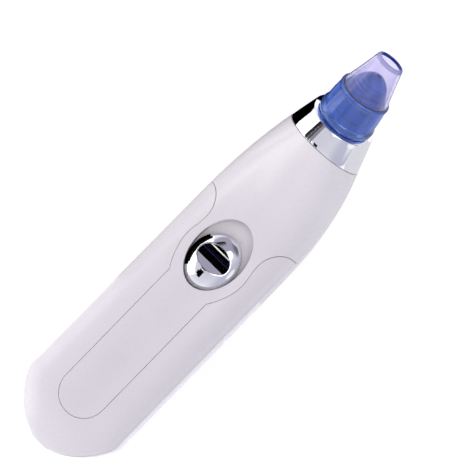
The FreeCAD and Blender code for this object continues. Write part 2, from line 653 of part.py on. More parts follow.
def make_motor_screws():
    heads = motor_screw_posts("motor_screw_head", "1.4", ("pump_floor", "pump_floor + 0.5"))
    shanks = motor_screw_posts("motor_screw_shank", "0.8", ("motor_end - 1.5", "pump_floor"))
    finish("motor_screws", fuse("motor_screws", heads, shanks))


def make_rotor():
    shaft = turned_on_drive("motor_shaft", [("0", "cap_start - 0.6"), ("shaft_radius", "cap_start - 0.6"),
                                            ("shaft_radius", "pump_floor + 2.2"), ("0", "pump_floor + 2.2")])
    finish("motor_shaft", shaft)
    drum = cylinder("core_drum", "core_radius", ("core_start", "core_end"), "0", "drive_z")
    slots = []
    for index in range(3):
        slot = doc.addObject("Part::Box", f"core_slot_{index}")
        bind(slot, Length="core_end - core_start + 2", Width="1.2", Height="core_radius")
        turn = Rotation(Vector(1, 0, 0), 120 * index)
        slots.append(place(slot, "core_start - 1", "0", "drive_z", turn))
    slot_set = fuse("core_slots", *slots)
    hub = cylinder("core_hub", "2.2", ("core_start", "core_end"), "0", "drive_z")
    core = fuse("core_solid", cut("core_arms", drum, slot_set), hub)
    bore = cylinder("core_bore", "shaft_radius", ("core_start - 5", "core_end + 5"), "0", "drive_z")
    finish("rotor_core", cut("rotor_core", core, bore))
    coil = cylinder("coil_drum", "core_radius - 1", ("core_start - 1.6", "core_end + 1.6"), "0", "drive_z")
    finish("rotor_windings", cut("rotor_windings", coil, drum, bore))
    commutator = turned_on_drive("commutator", [("shaft_radius", "motor_start + 0.4"),
                                                ("commutator_radius", "motor_start + 0.4"),
                                                ("commutator_radius", "motor_start + 3"),
                                                ("shaft_radius", "motor_start + 3")])
    finish("commutator", commutator)


# ---------------------------------------------------------------- pump

def ring_of(name, radius, circle, span, first=90):
    """Three equal cylinders round the pump's axis."""
    places = []
    for index in range(3):
        angle = math.radians(first + 120 * index)
        places.append(cylinder(f"{name}_{index}", radius, span, f"({circle}) * {math.cos(angle):.6f}",
                               f"drive_z + ({circle}) * {math.sin(angle):.6f}"))
    return places


def make_pump_base():
    base = turned_on_drive("base_cup", [("bushing_radius + 0.8", "motor_end"), ("pump_radius", "motor_end"),
                                        ("pump_radius", "pump_joint"), ("pump_bore", "pump_joint"),
                                        ("pump_bore", "pump_floor"), ("bushing_radius + 0.8", "pump_floor")])
    holes = motor_screw_posts("base_hole", "0.85", ("motor_end - 1", "pump_floor + 1"))
    threads = ring_of("base_thread", "0.85", "pump_screw_circle", ("pump_floor + 4", "pump_joint + 1"), 30)
    finish("pump_base", cut("pump_base", base, holes, *threads))


def make_pump_eccentric():
    disc = cylinder("eccentric_disc", "4.2", ("pump_floor + 0.7", "pump_floor + 4.2"), "0", "drive_z")
    bore = cylinder("eccentric_bore", "shaft_radius", ("pump_floor", "pump_floor + 2.2"), "0", "drive_z")
    pin_profile = [("0", "-6.6"), ("pin_radius", "-6.6"), ("pin_radius", "-0.9"), ("0", "-0.9")]
    pin_hole = turned("pin_hole", pin_profile)
    flat = block("eccentric_flat", ("pump_floor", "pump_floor + 5"), ("-5", "5"),
                 ("drive_z + 2.6", "drive_z + 6"))
    finish("pump_eccentric", cut("pump_eccentric", disc, bore, place_on_crank(pin_hole), flat))
    finish("crank_pin", place_on_crank(turned("crank_pin", pin_profile)))


def make_wobble_frame():
    frame = turned("wobble_frame", [("pin_radius + shaft_gap", "-4.3"), ("2", "-4.3"), ("2", "-1.6"),
                                    ("pump_bore - 1", "-1.6"), ("pump_bore - 1", "-0.4"), ("0", "-0.4"),
                                    ("0", "-0.8"), ("pin_radius + shaft_gap", "-0.8")])
    finish("wobble_frame", place_on_crank(frame))


def make_pump_diaphragm():
    sheet_part = cylinder("diaphragm_sheet", "pump_radius", ("pump_joint", "valve_start"), "0", "drive_z")
    cups = ring_of("diaphragm_cup", "cup_radius", "cup_circle", ("valve_start", "valve_start + 1.9"))
    hollows = ring_of("diaphragm_hollow", "cup_radius - 0.6", "cup_circle",
                      ("pump_joint + 0.6", "valve_start + 1.3"))
    holes = ring_of("diaphragm_hole", "0.85", "pump_screw_circle", ("pump_joint - 1", "valve_start + 1"), 30)
    solid = fuse("diaphragm_solid", sheet_part, *cups)
    finish("pump_diaphragm", cut("pump_diaphragm", solid, *hollows, *holes))


def make_valve_plate():
    plate = cylinder("valve_disc", "pump_radius", ("valve_start", "valve_end"), "0", "drive_z")
    pockets = ring_of("valve_pocket", "cup_radius + 0.2", "cup_circle",
                      ("valve_start - 1", "valve_start + 2.2"))
    ports = ring_of("valve_port", "0.6", "cup_circle", ("valve_start", "valve_end + 1"))
    holes = ring_of("valve_hole", "0.85", "pump_screw_circle", ("valve_start - 1", "valve_end + 1"), 30)
    finish("pump_valve_plate", cut("pump_valve_plate", plate, *pockets, *ports, *holes))
    flaps = ring_of("valve_flap", "1.7", "cup_circle", ("valve_end", "valve_end + 0.4"))
    finish("pump_valve_flaps", group("pump_valve_flaps", *flaps))


def make_pump_cover():
    cover = turned_on_drive("cover_cup", [("0", "valve_end + 1.6"), ("pump_bore", "valve_end + 1.6"),
                                          ("pump_bore", "valve_end"), ("pump_radius", "valve_end"),
                                          ("pump_radius", "cover_face"), ("0", "cover_face")])
    nipple = cylinder("nipple", "nipple_radius", ("cover_face - 0.5", "nipple_end"), "0", "nipple_z")
    bore = cylinder("nipple_bore", "0.8", ("valve_end", "nipple_end + 1"), "0", "nipple_z")
    exhaust = cylinder("exhaust_hole", "0.6", ("valve_end", "cover_face + 1"), "4", "drive_z - 5")
    holes = ring_of("cover_hole", "0.85", "pump_screw_circle", ("valve_end - 1", "cover_face + 1"), 30)
    finish("pump_cover", cut("pump_cover", fuse("cover_with_nipple", cover, nipple), bore, exhaust, *holes))
    heads = ring_of("pump_screw_head", "1.2", "pump_screw_circle - 0.1",
                    ("cover_face", "cover_face + 0.9"), 30)
    shanks = ring_of("pump_screw_shank", "0.8", "pump_screw_circle", ("pump_floor + 5", "cover_face"), 30)
    finish("pump_screws", fuse("pump_screws", *heads, *shanks))


# ---------------------------------------------------------------- tube and wires

def bent_path(points, bend):
    """Straight runs joined by tangent arcs of one radius."""
    edges = []
    start = points[0]
    for before, corner, after in zip(points, points[1:], points[2:]):
        towards = (before - corner).normalize()
        onward = (after - corner).normalize()
        half_turn = (math.pi - towards.getAngle(onward)) / 2
        reach = bend * math.tan(half_turn)
        entry = corner + towards * reach
        leave = corner + onward * reach
        inward = (towards + onward).normalize()
        middle = corner + inward * (bend / math.cos(half_turn) - bend)
        edges.append(Part.LineSegment(start, entry).toShape())
        edges.append(Part.Arc(entry, middle, leave).toShape())
        start = leave
    edges.append(Part.LineSegment(start, points[-1]).toShape())
    return Part.Wire(edges)


def swept(points, bend, radius):
    path = bent_path(points, bend)
    ring = Part.Wire(Part.Circle(points[0], points[1] - points[0], radius).toShape())
    return path.makePipeShell([ring], True, True)


def make_air_tube():
    angle = math.radians(SIZE["nozzle_angle"])
    seat = Vector(SIZE["flange_x"], 0, SIZE["flange_z"])
    along = Vector(math.cos(angle), 0, math.sin(angle))
    meeting = seat - along * ((SIZE["flange_z"] - SIZE["nipple_z"]) / math.sin(angle))
    route = [Vector(SIZE["cover_face"] + 0.5, 0, SIZE["nipple_z"]), meeting, seat - along * 5]
    tube = swept(route, SIZE["tube_bend"], SIZE["tube_radius"])
    finish("air_tube", formed("air_tube", tube.cut(swept(route, SIZE["tube_bend"], SIZE["nipple_radius"]))))


def make_wires():
    board_under = SIZE["board_top"] - SIZE["board_thick"]
    tab_y, tab_z = SIZE["tab_y"], SIZE["tab_z"]
    tab_x = SIZE["bay_end"] + 2
    motor_x = SIZE["cap_start"] - 1.2
    for label, side, lift in (("positive", 1, 2.8), ("negative", -1, -2.8)):
        supply = [Vector(tab_x, side * tab_y, tab_z), Vector(81, side * tab_y, tab_z),
                  Vector(81, side * tab_y, board_under)]
        finish(f"battery_wire_{label}", formed(f"battery_wire_{label}", swept(supply, 3.4, SIZE["wire_radius"])))
        height = SIZE["drive_z"] + lift
        drive = [Vector(motor_x, side * 6, height), Vector(motor_x, side * 12.8, height),
                 Vector(86, side * 12.8, height), Vector(86, side * 12.8, board_under)]
        finish(f"motor_wire_{label}", formed(f"motor_wire_{label}", swept(drive, 3.0, SIZE["wire_radius"])))


# ---------------------------------------------------------------- nozzle and head

def ring_wire(x, z, angle, radius):
    axis = Vector(math.cos(angle), 0, math.sin(angle))
    circle = Part.Circle(Vector(x, 0, z), axis, radius)
    return Part.Wire(circle.toShape())


def make_nozzle_collar():
    """Tapered ring between the tilted end of the housing and the head's seat."""
    joint_x, joint_z, _ = centre_at(SIZE["joint_run"])
    joint_angle = math.radians(SIZE["joint_angle"])
    angle = math.radians(SIZE["nozzle_angle"])
    seat_x, seat_z, wall = SIZE["flange_x"], SIZE["flange_z"], SIZE["collar_wall"]
    joint_radius, seat_radius = SIZE["joint_radius"], SIZE["flange_radius"]
    outer = Part.makeLoft([ring_wire(joint_x, joint_z, joint_angle, joint_radius),
                           ring_wire(seat_x, seat_z, angle, seat_radius)], True, True)
    under_x = seat_x - wall * math.cos(angle)
    under_z = seat_z - wall * math.sin(angle)
    joint_bore = joint_radius - wall - SIZE["wall"] + 0.4
    inner = Part.makeLoft([ring_wire(joint_x, joint_z, joint_angle, joint_bore),
                           ring_wire(under_x, under_z, angle, seat_radius - wall)], True, True)
    axis = Vector(math.cos(joint_angle), 0, math.sin(joint_angle))
    joint = Vector(joint_x, 0, joint_z)
    rim_radius = joint_radius - SIZE["wall"] - 0.15
    rim = Part.makeCylinder(rim_radius, 3, joint - axis * 3, axis).common(clear_form.Shape)
    bore = Part.makeCylinder(rim_radius - 1.3, 4, joint - axis * 4, axis)
    nozzle_axis = Vector(math.cos(angle), 0, math.sin(angle))
    seat = Vector(seat_x, 0, seat_z)
    hole = Part.makeCylinder(SIZE["spigot_radius"] + 0.1, 6, seat - nozzle_axis * 3, nozzle_axis)
    shape = outer.fuse(rim).cut([inner, bore, hole]).removeSplitter()
    finish("nozzle_collar", formed("nozzle_collar", shape))


def make_nozzle_port():
    profile = [("0.9", "-14"), ("nipple_radius", "-14"), ("nipple_radius", "-3.2"), ("9.2", "-3.2"),
               ("9.2", "-collar_wall"), ("spigot_radius", "-collar_wall"),
               ("spigot_radius", "ring_seat - 0.7"), ("spigot_radius - 1.1", "ring_seat - 0.7"),
               ("spigot_radius - 1.1", "ring_seat + 0.7"), ("spigot_radius", "ring_seat + 0.7"),
               ("spigot_radius", "9"), ("5", "9"), ("5", "6.4"), ("0.9", "6.4")]
    finish("nozzle_port", place_on_nozzle(turned("nozzle_port", profile)))
    ring = doc.addObject("Part::Torus", "port_seal_ring")
    bind(ring, Radius1="spigot_radius - 0.45", Radius2="ring_minor")
    turn = Rotation(Vector(0, 1, 0), 90 - SIZE["nozzle_angle"])
    finish("port_seal_ring", place(ring, "flange_x + ring_seat * cos(nozzle_angle * 1 deg)", "0",
                                   "flange_z + ring_seat * sin(nozzle_angle * 1 deg)", turn))
    finish("filter_sponge", nozzle_cylinder("filter_sponge", "4.9", ("6.45", "8.95")))


def make_suction_head():
    profile = [("head_bore", "0.6"), ("8.3", "0.6"), ("8.3", "11"), ("9.2", "11"), ("10.3", "3.4"),
               ("10.5", "0.3"), ("11", "0.3"), ("11.5", "0.9"), ("11.65", "1.9"), ("11.5", "3"),
               ("11.05", "3.7"), ("10.3", "12.4"), ("10.5", "12.8"), ("10.4", "13.5"),
               ("10", "shoulder_run"), ("8.9", "shoulder_run"), ("8.9", "12.4"), ("head_bore", "12.4")]
    finish("suction_head", place_on_nozzle(turned("suction_head", profile)))


def make_inner_cone():
    profile = [("6.1", "12.4"), ("8.8", "12.4"), ("8.8", "13.2"), ("7.1", "13.2"), ("5.6", "16.9"),
               ("3.7", "20"), ("2.2", "21.6"), ("1", "22.2"), ("1", "21.2"), ("1.6", "20.8"),
               ("3", "19.3"), ("4.7", "16.5"), ("6.1", "13")]
    finish("head_inner_cone", place_on_nozzle(turned("head_inner_cone", profile)))


def hood_loft(inset, low, high):
    """Round at the shoulder, oval at the mouth, with the sides drawn in a little between."""
    wires = []
    for part, waist in ((0, 1.0), (0.35, 0.985), (0.7, 0.985), (1, 1.0)):
        across = SIZE["hood_radius"] + (SIZE["mouth_half_width"] - SIZE["hood_radius"]) * part
        up = SIZE["hood_radius"] + (SIZE["mouth_half_height"] - SIZE["hood_radius"]) * part
        run = low + (high - low) * part
        oval = Part.Ellipse(Vector(0, 0, run), across * waist - inset,
                            min(up, across - 0.001) * waist - inset)
        edge = oval.toShape()
        edge.rotate(Vector(0, 0, run), Vector(0, 0, 1), 90)
        wires.append(Part.Wire(edge))
    return Part.makeLoft(wires, True)


def make_head_hood():
    low, high = SIZE["shoulder_run"], SIZE["mouth_run"]
    shape = hood_loft(0, low, high).cut(hood_loft(SIZE["hood_wall"], low - 0.01, high + 0.01))
    hood = doc.addObject("Part::Feature", "head_hood")
    hood.Shape = shape
    finish("head_hood", place_on_nozzle(hood))


make_front_housing()
make_rear_housing()
make_battery_cover()
make_housing_screws()
make_switch_button()
make_switch_slide_plate()
make_slide_switch()
make_circuit_board()
make_cells()
make_springs()
make_contact_plates()
make_battery_box()
make_motor_case()
make_motor_brushes()
make_motor_bushings()
make_motor_magnets()
make_motor_screws()
make_rotor()
make_pump_base()
make_pump_eccentric()
make_wobble_frame()
make_pump_diaphragm()
make_valve_plate()
make_pump_cover()
make_air_tube()
make_wires()
make_nozzle_collar()
make_nozzle_port()
make_suction_head()
make_inner_cone()
make_head_hood()

doc.recompute()
failed = [item.Label for item in doc.Objects if "Invalid" in item.State or "Error" in item.State]
failed += [item.Label for item in nodes if item.Shape.isNull() or not item.Shape.isValid()]
if failed:
    raise SystemExit(f"failed: {failed}")

os.makedirs("parts", exist_ok=True)
for item in nodes:
    item.Shape.exportStep(f"parts/{item.Label}.step")
    box = item.Shape.BoundBox
    print(f"{item.Label:24s} solids {len(item.Shape.Solids)} volume {item.Shape.Volume:9.1f}",
          f"x {box.XMin:.2f}..{box.XMax:.2f} y {box.YMin:.2f}..{box.YMax:.2f}",
          f"z {box.ZMin:.2f}..{box.ZMax:.2f}")
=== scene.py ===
import json
import math

import bmesh
import bpy
from mathutils import Matrix, Vector


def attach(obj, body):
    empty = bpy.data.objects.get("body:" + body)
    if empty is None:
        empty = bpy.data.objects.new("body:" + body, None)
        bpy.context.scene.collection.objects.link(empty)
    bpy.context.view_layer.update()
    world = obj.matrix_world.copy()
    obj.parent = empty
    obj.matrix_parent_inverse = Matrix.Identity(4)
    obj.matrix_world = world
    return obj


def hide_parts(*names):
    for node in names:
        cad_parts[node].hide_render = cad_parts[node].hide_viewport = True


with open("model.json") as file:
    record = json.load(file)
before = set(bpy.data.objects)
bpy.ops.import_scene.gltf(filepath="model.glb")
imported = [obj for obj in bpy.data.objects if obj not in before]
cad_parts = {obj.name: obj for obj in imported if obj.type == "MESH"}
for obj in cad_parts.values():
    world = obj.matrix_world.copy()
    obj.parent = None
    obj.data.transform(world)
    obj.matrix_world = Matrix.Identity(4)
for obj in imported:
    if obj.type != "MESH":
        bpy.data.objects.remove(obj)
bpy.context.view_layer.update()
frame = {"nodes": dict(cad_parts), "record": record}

MM = 0.001
STATION_ZERO = 91.08          # row x = station - this, mm
HEIGHT_ZERO = 29.5            # row z = height + this, mm
TILT = math.radians(35)       # lean of the suction head
SEAT_STATION, SEAT_HEIGHT = 156.1, 18.84


# ---------------------------------------------------------------- node helpers
def new_material(name):
    """An empty node material, with its tree and its shader."""
    material = bpy.data.materials.new(name)
    material.use_nodes = True
    tree = material.node_tree
    shader = tree.nodes["Principled BSDF"]
    return material, tree, shader


def noise_field(tree, scale, detail=4.0, roughness=0.55, stretch=(1, 1, 1)):
    coordinates = tree.nodes.new("ShaderNodeTexCoord")
    mapping = tree.nodes.new("ShaderNodeMapping")
    mapping.inputs["Scale"].default_value = stretch
    noise = tree.nodes.new("ShaderNodeTexNoise")
    noise.inputs["Scale"].default_value = scale
    noise.inputs["Detail"].default_value = detail
    noise.inputs["Roughness"].default_value = roughness
    tree.links.new(coordinates.outputs["Object"], mapping.inputs["Vector"])
    tree.links.new(mapping.outputs["Vector"], noise.inputs["Vector"])
    return noise.outputs["Fac"]


def ramp(tree, factor, stops):
    """A colour ramp with (place, colour) stops."""
    node = tree.nodes.new("ShaderNodeValToRGB")
    elements = node.color_ramp.elements
    while len(elements) < len(stops):
        elements.new(0.5)
    for element, (place, colour) in zip(elements, stops):
        element.position = place
        element.color = (*colour, 1)
    tree.links.new(factor, node.inputs["Fac"])
    return node.outputs["Color"]


def remap(tree, factor, low, high, start=0.3, end=0.7):
    """Maps start..end of a factor to low..high."""
    node = tree.nodes.new("ShaderNodeMapRange")
    node.inputs["From Min"].default_value = start
    node.inputs["From Max"].default_value = end
    node.inputs["To Min"].default_value = low
    node.inputs["To Max"].default_value = high
    tree.links.new(factor, node.inputs["Value"])
    return node.outputs["Result"]


def mix_colours(tree, factor, first, second):
    """Goes from a colour socket to a plain colour as the factor goes from 0 to 1."""
    mix = tree.nodes.new("ShaderNodeMix")
    mix.data_type = "RGBA"
    tree.links.new(factor, mix.inputs["Factor"])
    tree.links.new(first, mix.inputs["A"])
    mix.inputs["B"].default_value = (*second, 1)
    return mix.outputs["Result"]


def add_bump(tree, shader, height, strength, distance):
    node = tree.nodes.new("ShaderNodeBump")
    node.inputs["Strength"].default_value = strength
    node.inputs["Distance"].default_value = distance
    tree.links.new(height, node.inputs["Height"])
    tree.links.new(node.outputs["Normal"], shader.inputs["Normal"])


def mottled(name, dark, light, rough, patch=60.0, grain=2500.0, bump=0.05, bump_depth=0.00003,
            stretch=(1, 1, 1), **constants):
    """A moulded, cast or wound surface: colour mottling, uneven gloss and a fine grain."""
    material, tree, shader = new_material(name)
    broad = noise_field(tree, patch, stretch=stretch)
    fine = noise_field(tree, grain, detail=6.0, roughness=0.65, stretch=stretch)
    tree.links.new(ramp(tree, broad, [(0.35, dark), (0.65, light)]), shader.inputs["Base Color"])
    tree.links.new(remap(tree, fine, *rough), shader.inputs["Roughness"])
    add_bump(tree, shader, fine, bump, bump_depth)
    for key, value in constants.items():
        shader.inputs[key.replace("_", " ")].default_value = value
    return material


def soften_edges(material, radius):
    """Rounds the shading of sharp moulded edges, below the grain's own bump."""
    tree = material.node_tree
    bevel = tree.nodes.new("ShaderNodeBevel")
    bevel.samples = 6
    bevel.inputs["Radius"].default_value = radius
    for node in tree.nodes:
        if node.type == "BUMP":
            tree.links.new(bevel.outputs["Normal"], node.inputs["Normal"])


def tint_edges(material, colour):
    """Clear plastic looks deeper in colour where it is seen edge on, through more of it."""
    tree = material.node_tree
    shader = tree.nodes["Principled BSDF"]
    weight = tree.nodes.new("ShaderNodeLayerWeight")
    weight.inputs["Blend"].default_value = 0.5
    depth = remap(tree, weight.outputs["Facing"], 0, 1, start=0.42, end=0.9)
    base = shader.inputs["Base Color"].links[0].from_socket
    tree.links.new(mix_colours(tree, depth, base, colour), shader.inputs["Base Color"])


# ---------------------------------------------------------------- materials
LOWER_LIP, UPPER_LIP = 0.0642, 0.0664      # row z between which the mouth rim's blue fades, m


def make_mouth_rim_material():
    """Clear plastic whose blue gathers in the lower lip of the mouth."""
    material = mottled("mouth_rim", (0.008, 0.03, 0.3), (0.02, 0.06, 0.42), (0.05, 0.12), patch=300,
                       grain=900, bump=0.05, bump_depth=0.0001, Transmission_Weight=0.3, IOR=1.46)
    tree = material.node_tree
    shader = tree.nodes["Principled BSDF"]
    coordinates = tree.nodes.new("ShaderNodeTexCoord")
    split = tree.nodes.new("ShaderNodeSeparateXYZ")
    tree.links.new(coordinates.outputs["Object"], split.inputs["Vector"])
    height = remap(tree, split.outputs["Z"], 0, 1, start=LOWER_LIP, end=UPPER_LIP)
    deep = shader.inputs["Base Color"].links[0].from_socket
    tree.links.new(mix_colours(tree, height, deep, (0.5, 0.48, 0.8)), shader.inputs["Base Color"])
    return material


def make_materials():
    """One procedural material for every material slot of the record."""
    made = {}
    made["pearl_shell"] = mottled(
        "pearl_shell", (0.725, 0.69, 0.70), (0.765, 0.73, 0.735), (0.24, 0.36), patch=22, grain=1400,
        bump=0.06, Coat_Weight=0.35, Coat_Roughness=0.12, IOR=1.5)
    made["chrome_trim"] = mottled(
        "chrome_trim", (0.86, 0.87, 0.9), (0.93, 0.93, 0.95), (0.03, 0.07), patch=90, grain=900,
        bump=0.02, Metallic=1.0)
    made["blue_clear"] = mottled(
        "blue_clear", (0.22, 0.39, 0.92), (0.28, 0.45, 0.97), (0.05, 0.12), patch=140, grain=700,
        bump=0.06, bump_depth=0.0001, Transmission_Weight=0.8, IOR=1.46)
    made["deep_blue_clear"] = mottled(
        "deep_blue_clear", (0.02, 0.15, 0.58), (0.1, 0.31, 0.88), (0.06, 0.14), patch=220, grain=700,
        bump=0.1, bump_depth=0.0002, Transmission_Weight=0.2, IOR=1.46)
    made["pale_clear"] = mottled(
        "pale_clear", (0.8, 0.76, 0.95), (0.88, 0.85, 0.98), (0.04, 0.1), patch=140, grain=700,
        bump=0.05, bump_depth=0.0001, Transmission_Weight=0.96, IOR=1.46)
    made["mouth_rim"] = make_mouth_rim_material()
    soften_edges(made["pearl_shell"], 0.00035)
    tint_edges(made["pale_clear"], (0.16, 0.2, 0.55))
    tint_edges(made["blue_clear"], (0.03, 0.1, 0.5))
    made["white_plastic"] = mottled("white_plastic", (0.74, 0.74, 0.72), (0.82, 0.82, 0.8), (0.4, 0.55))
    made["grey_plastic"] = mottled("grey_plastic", (0.36, 0.37, 0.38), (0.45, 0.46, 0.47), (0.42, 0.58))
    made["black_plastic"] = mottled("black_plastic", (0.012, 0.012, 0.014), (0.03, 0.03, 0.034), (0.35, 0.55))
    made["filter_foam"] = mottled("filter_foam", (0.6, 0.6, 0.57), (0.85, 0.85, 0.82), (0.8, 0.95),
                                  patch=1800, grain=2600, bump=0.9, bump_depth=0.0004)
    made["black_rubber"] = mottled("black_rubber", (0.012, 0.012, 0.012), (0.03, 0.03, 0.03), (0.6, 0.8))
    made["silicone"] = mottled("silicone", (0.55, 0.57, 0.58), (0.7, 0.72, 0.73), (0.3, 0.45),
                               Subsurface_Weight=0.2)
    made["zinc_steel"] = mottled("zinc_steel", (0.42, 0.44, 0.47), (0.62, 0.63, 0.64), (0.25, 0.45),
                                 patch=300, Metallic=1.0)
    made["polished_steel"] = mottled("polished_steel", (0.6, 0.61, 0.62), (0.72, 0.72, 0.73), (0.12, 0.25),
                                     stretch=(0.1, 1, 1), Metallic=1.0)
    made["motor_steel"] = mottled("motor_steel", (0.45, 0.46, 0.47), (0.56, 0.57, 0.58), (0.3, 0.42),
                                  stretch=(0.1, 1, 1), Metallic=1.0)
    made["core_steel"] = mottled("core_steel", (0.2, 0.2, 0.21), (0.34, 0.34, 0.35), (0.4, 0.6),
                                 patch=2000, stretch=(6, 0.2, 0.2), Metallic=1.0)
    made["ferrite"] = mottled("ferrite", (0.045, 0.045, 0.05), (0.09, 0.09, 0.095), (0.6, 0.8))
    made["copper"] = mottled("copper", (0.62, 0.26, 0.12), (0.75, 0.36, 0.2), (0.2, 0.35), Metallic=1.0)
    made["enamelled_copper"] = mottled("enamelled_copper", (0.5, 0.14, 0.04), (0.7, 0.26, 0.1), (0.2, 0.35),
                                       patch=1500, stretch=(0.1, 2, 2), bump=0.5, bump_depth=0.0002,
                                       Metallic=0.8)
    made["bronze"] = mottled("bronze", (0.42, 0.27, 0.12), (0.56, 0.38, 0.2), (0.35, 0.5), Metallic=1.0)
    made["nickel_plate"] = mottled("nickel_plate", (0.62, 0.6, 0.55), (0.74, 0.72, 0.68), (0.15, 0.3),
                                   Metallic=1.0)
    made["cell_jacket"] = mottled("cell_jacket", (0.03, 0.09, 0.2), (0.05, 0.14, 0.28), (0.25, 0.35))
    made["board_green"] = mottled("board_green", (0.01, 0.13, 0.05), (0.02, 0.2, 0.08), (0.3, 0.45),
                                  patch=400)
    made["component_tan"] = mottled("component_tan", (0.42, 0.3, 0.16), (0.55, 0.42, 0.25), (0.35, 0.5))
    made["red_wire"] = mottled("red_wire", (0.5, 0.015, 0.01), (0.62, 0.03, 0.02), (0.35, 0.45))
    made["black_wire"] = mottled("black_wire", (0.01, 0.01, 0.01), (0.025, 0.025, 0.025), (0.35, 0.45))
    return made


def dress_nodes(materials):
    """Gives every carried-over node the material of its slot."""
    for entry in frame["record"]["subparts"]:
        node = frame["nodes"][entry["node"]]
        material = materials[entry["material_slot"]]
        if not node.material_slots:
            node.data.materials.append(material)
        for held in node.material_slots:
            held.material = material


# ---------------------------------------------------------------- piece helpers
def row_point(station, across, height):
    """A point of the frame in metres, from the housing's own coordinates in mm."""
    return Vector((station - STATION_ZERO, across, height + HEIGHT_ZERO)) * MM


NOZZLE_AXIS = Vector((math.cos(TILT), 0, math.sin(TILT)))
NOZZLE_UP = Vector((-math.sin(TILT), 0, math.cos(TILT)))
SIDE = Vector((0, 1, 0))
SEAT = row_point(SEAT_STATION, 0, SEAT_HEIGHT)


def nozzle_point(across, up, run):
    """A point of the suction head; run is counted along its axis from the seat, in mm."""
    return SEAT + (across * SIDE + up * NOZZLE_UP + run * NOZZLE_AXIS) * MM


def ring_mesh(name, rings, closed_profile=True, capped=False):
    """Quads between successive closed rings of points."""
    form = bmesh.new()
    loops = [[form.verts.new(point) for point in ring] for ring in rings]
    count = len(loops[0])
    pairs = list(zip(loops, loops[1:]))
    if closed_profile:
        pairs.append((loops[-1], loops[0]))
    for lower, upper in pairs:
        for index in range(count):
            following = (index + 1) % count
            form.faces.new((lower[index], lower[following], upper[following], upper[index]))
    if capped:
        form.faces.new(loops[0])
        form.faces.new(loops[-1])
    bmesh.ops.recalc_face_normals(form, faces=form.faces)
    mesh = bpy.data.meshes.new(name)
    form.to_mesh(mesh)
    form.free()
    return mesh


def add_piece(name, mesh, body, node, material, edge=math.radians(40)):
    """A smooth-shaded piece that rides on a body and stands for a CAD node, if one is named."""
    piece = bpy.data.objects.new(name, mesh)
    bpy.context.collection.objects.link(piece)
    mesh.materials.append(material)
    mesh.shade_smooth()
    mesh.set_sharp_from_angle(angle=edge)
    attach(piece, body)
    if node:
        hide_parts(node)


def rounded_profile(corners, steps=4):
    """Closed profile of (radius, run, rounding); each corner becomes a short arc-like run of points."""
    points = []
    count = len(corners)
    for index, (radius, run, rounding) in enumerate(corners):
        here = Vector((radius, run))
        before = Vector(corners[index - 1][:2]) - here
        after = Vector(corners[(index + 1) % count][:2]) - here
        reach = min(rounding, before.length * 0.45, after.length * 0.45)
        if reach < 0.01:
            points.append(here)
            continue
        start = here + before.normalized() * reach
        end = here + after.normalized() * reach
        for step in range(steps + 1):
            part = step / steps
            points.append(start.lerp(here, part).lerp(here.lerp(end, part), part))
    return points


def lathe(name, corners, segments=144):
    """Turns a closed profile about the suction head's axis."""
    rings = []
    for radius, run in rounded_profile(corners):
        rings.append([nozzle_point(radius * math.cos(2 * math.pi * index / segments),
                                   radius * math.sin(2 * math.pi * index / segments), run)
                      for index in range(segments)])
    return ring_mesh(name, rings)


# ---------------------------------------------------------------- suction head
# Closed profiles as (radius, run from the seat, rounding), all in mm.
HEAD_PROFILE = [
    (7.3, 0.3, 0.25), (9.9, 0.32, 0.3), (10.4, 0.32, 0.4), (10.78, 0.9, 0.5), (10.92, 1.9, 0.6),
    (10.78, 3.0, 0.5), (10.3, 3.72, 0.35), (10.05, 8.0, 0), (9.6, 12.3, 0.2), (9.8, 12.8, 0.2),
    (9.74, 13.4, 0.25), (9.35, 13.88, 0.25), (8.75, 13.88, 0.2), (8.75, 12.3, 0.2), (9.1, 8, 0),
    (9.4, 3.4, 0.5), (9.3, 2.2, 0.4), (8.35, 2.2, 0.4), (8.3, 10.9, 0.3), (7.25, 10.9, 0.3)]
CONE_PROFILE = [
    (8.6, 12.42, 0.15), (8.6, 13.18, 0.2), (7.3, 13.22, 0.2), (7.3, 14.5, 0.5), (6.6, 14.9, 0.2),
    (6.9, 16.1, 0.5), (6.1, 16.5, 0.2), (6.3, 17.6, 0.5), (5.4, 18.0, 0.2), (5.5, 18.9, 0.5),
    (4.55, 19.35, 0.2), (4.4, 20.1, 0.5), (3.4, 20.8, 0.3), (2.7, 21.45, 0.5), (1.6, 21.95, 0.3),
    (1.02, 22.18, 0.15), (1.02, 21.2, 0.2), (2.0, 20.5, 0.3), (3.1, 19.1, 0), (4.7, 16.4, 0),
    (6.1, 12.9, 0.4), (6.3, 12.42, 0.2)]
HOOD_START, HOOD_END = 13.9, 29.5
HOOD_WALL = 0.9
HOOD_ROOT, MOUTH_HALF_WIDTH, MOUTH_HALF_HEIGHT = 9.1, 5.23, 3.4
HOOD_STEPS = 24
LIP_LENGTH = 1.3
LIP_OUTLINE = [  # inset from the hood's outside and run along it, mm
    (0, 0), (0, 0.7), (0.08, 1.02), (0.28, 1.22), (0.55, LIP_LENGTH), (0.8, 1.25), (1.02, 1.05),
    (1.1, 0.8), (1.05, 0.4), (HOOD_WALL, 0)]


def hood_half_sizes(part):
    """Half width and half height of the hood, from its root (part 0) to its mouth (part 1)."""
    waist = 1 - 0.015 * math.sin(math.pi * min(1, max(0, part)))
    across = (HOOD_ROOT + (MOUTH_HALF_WIDTH - HOOD_ROOT) * part) * waist
    up = (HOOD_ROOT + (MOUTH_HALF_HEIGHT - HOOD_ROOT) * part) * waist
    return across, up


def hood_ring(part, inset, run, segments=144):
    across, up = hood_half_sizes(part)
    ring = []
    for index in range(segments):
        turn = 2 * math.pi * index / segments
        ring.append(nozzle_point((across - inset) * math.cos(turn), (up - inset) * math.sin(turn), run))
    return ring


